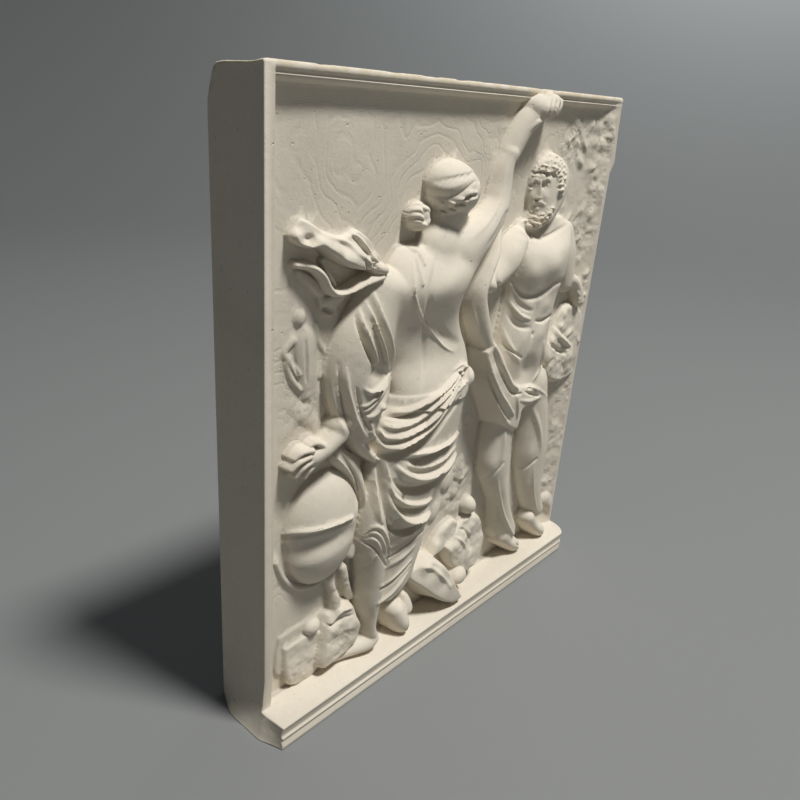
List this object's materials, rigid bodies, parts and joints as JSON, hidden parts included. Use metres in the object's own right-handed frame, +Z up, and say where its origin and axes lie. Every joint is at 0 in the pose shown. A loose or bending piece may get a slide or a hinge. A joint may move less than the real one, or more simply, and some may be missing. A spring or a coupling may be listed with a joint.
{
  "type": "plaster relief panel",
  "caption": "Cast plaster relief panel on a small projecting ledge, with two standing figures in high relief.",
  "frame": {"origin": "centre of the bounding box on the underside that the panel stands on", "axes": "+X to the right as the carving is looked at, -Y out of the carved front, +Z up"},
  "size_m": [0.181, 0.0336, 0.2],
  "materials": {
    "plaster": "matt off-white cast plaster"
  },
  "bodies": {
    "root": {"relief_panel": "plaster"}
  },
  "joints": []
}
